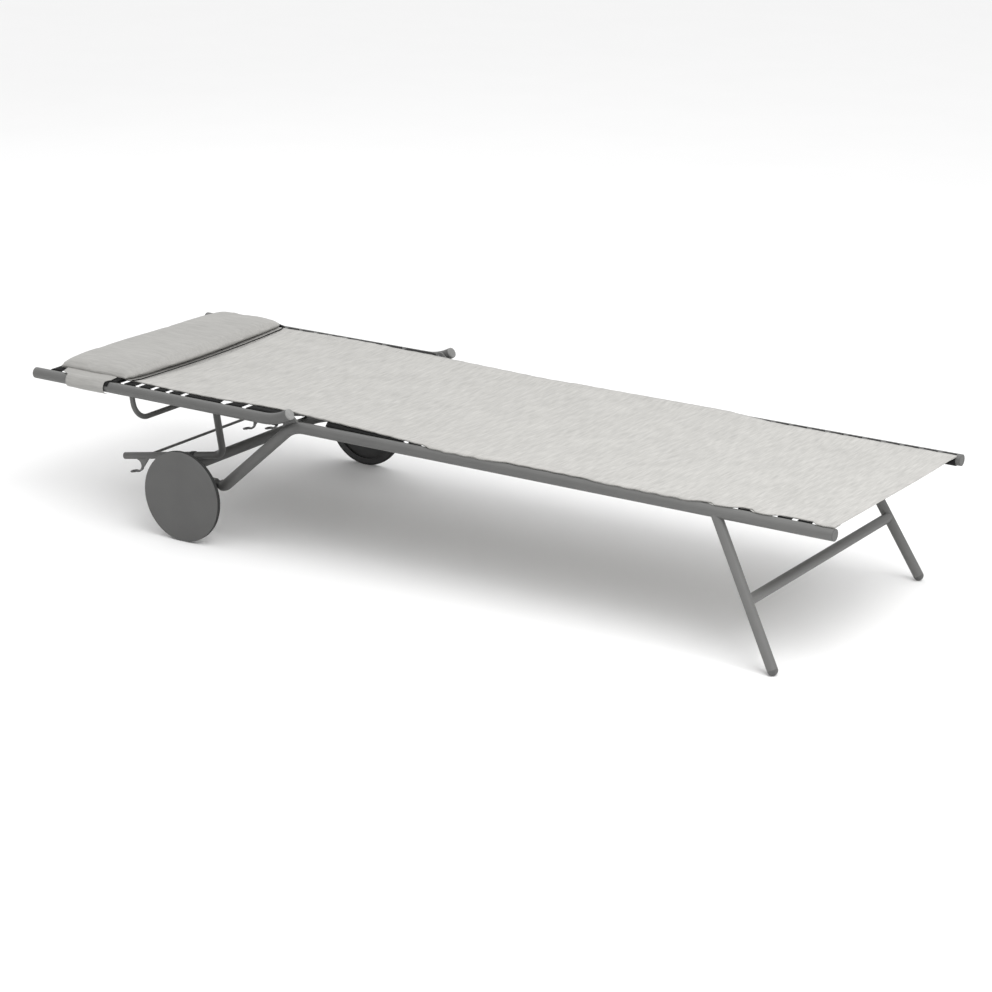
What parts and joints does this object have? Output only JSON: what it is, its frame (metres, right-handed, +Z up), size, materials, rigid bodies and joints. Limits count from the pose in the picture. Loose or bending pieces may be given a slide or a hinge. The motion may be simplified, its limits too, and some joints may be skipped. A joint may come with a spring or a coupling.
{
  "type": "reclining sun lounger",
  "caption": "Flat sun lounger on bent tubes with a stretched fabric sling, a lifting backrest on a hooked prop frame, a head pillow, splayed front legs and disc wheels at the back.",
  "frame": {"origin": "on the floor under the middle of the lounger's length and width", "axes": "+X points to the foot end, +Y to the left of a person lying on it, +Z up"},
  "size_m": [2, 0.696, 0.346],
  "materials": {
    "coated_metal": "satin powder coat",
    "wheel_finish": "satin powder coat",
    "wheel_core": "moulded matt",
    "tread": "matt",
    "pad_rubber": "matt",
    "black_plastic": "moulded matt",
    "cap_plastic": "moulded satin",
    "grey_plastic": "moulded satin",
    "steel": "zinc plated",
    "sling_fabric": "coated mesh weave",
    "pillow_fabric": "coated mesh weave",
    "webbing": "woven band"
  },
  "bodies": {
    "frame": {"side_rail_right": "coated_metal", "rail_plug_right": "cap_plastic", "front_leg_right": "coated_metal", "foot_cap_right": "cap_plastic", "spigot_right": "black_plastic", "wheel_bracket_right": "coated_metal", "axle_right": "steel", "hinge_lug_right": "coated_metal", "hinge_bolt_right": "steel", "seat_tabs_right": "webbing", "side_rail_left": "coated_metal", "rail_plug_left": "cap_plastic", "front_leg_left": "coated_metal", "foot_cap_left": "cap_plastic", "spigot_left": "black_plastic", "wheel_bracket_left": "coated_metal", "axle_left": "steel", "hinge_lug_left": "coated_metal", "hinge_bolt_left": "steel", "seat_tabs_left": "webbing", "leg_cross_bar": "coated_metal", "rear_frame": "coated_metal", "spigot_screws": "steel", "axle_clips": "steel", "hinge_washers": "black_plastic", "seat_sling": "sling_fabric"},
    "backrest": {"backrest_rail_right": "coated_metal", "hinge_bush_right": "black_plastic", "head_plug_right": "cap_plastic", "hinge_cap_right": "grey_plastic", "back_tabs_right": "webbing", "pillow_flap_right": "pillow_fabric", "backrest_rail_left": "coated_metal", "hinge_bush_left": "black_plastic", "head_plug_left": "cap_plastic", "hinge_cap_left": "grey_plastic", "back_tabs_left": "webbing", "pillow_flap_left": "pillow_fabric", "backrest_bow": "coated_metal", "pivot_tube": "coated_metal", "pivot_collars": "black_plastic", "back_sling": "sling_fabric", "head_pillow": "pillow_fabric"},
    "prop": {"prop_arm_right": "coated_metal", "catch_hooks_right": "coated_metal", "prop_arm_left": "coated_metal", "catch_hooks_left": "coated_metal", "prop_rod": "coated_metal", "prop_pads": "pad_rubber", "bar_caps": "cap_plastic"},
    "wheel_right": {"wheel_face_right": "wheel_finish", "wheel_tyre_right": "tread", "wheel_body_right": "wheel_core", "wheel_bush_right": "black_plastic"},
    "wheel_left": {"wheel_face_left": "wheel_finish", "wheel_tyre_left": "tread", "wheel_body_left": "wheel_core", "wheel_bush_left": "black_plastic"}
  },
  "joints": [
    {"name": "backrest_hinge", "type": "hinge", "parent": "frame", "child": "backrest", "pos_m": [-0.299, 0, 0.315], "axis": [0, 1, 0], "range_deg": [0, 30]},
    {"name": "prop_swing", "type": "hinge", "parent": "backrest", "child": "prop", "pos_m": [-0.56989, 0, 0.30025], "axis": [0, 1, 0], "range_deg": [-57, 0]},
    {"name": "wheel_right_spin", "type": "hinge", "parent": "frame", "child": "wheel_right", "pos_m": [-0.5525, -0.34, 0.102], "axis": [0, 1, 0], "continuous": true},
    {"name": "wheel_left_spin", "type": "hinge", "parent": "frame", "child": "wheel_left", "pos_m": [-0.5525, 0.34, 0.102], "axis": [0, 1, 0], "continuous": true}
  ],
  "couplings": [
    {"joint": "prop_swing", "follows": "backrest_hinge", "ratio": -1.9}
  ]
}
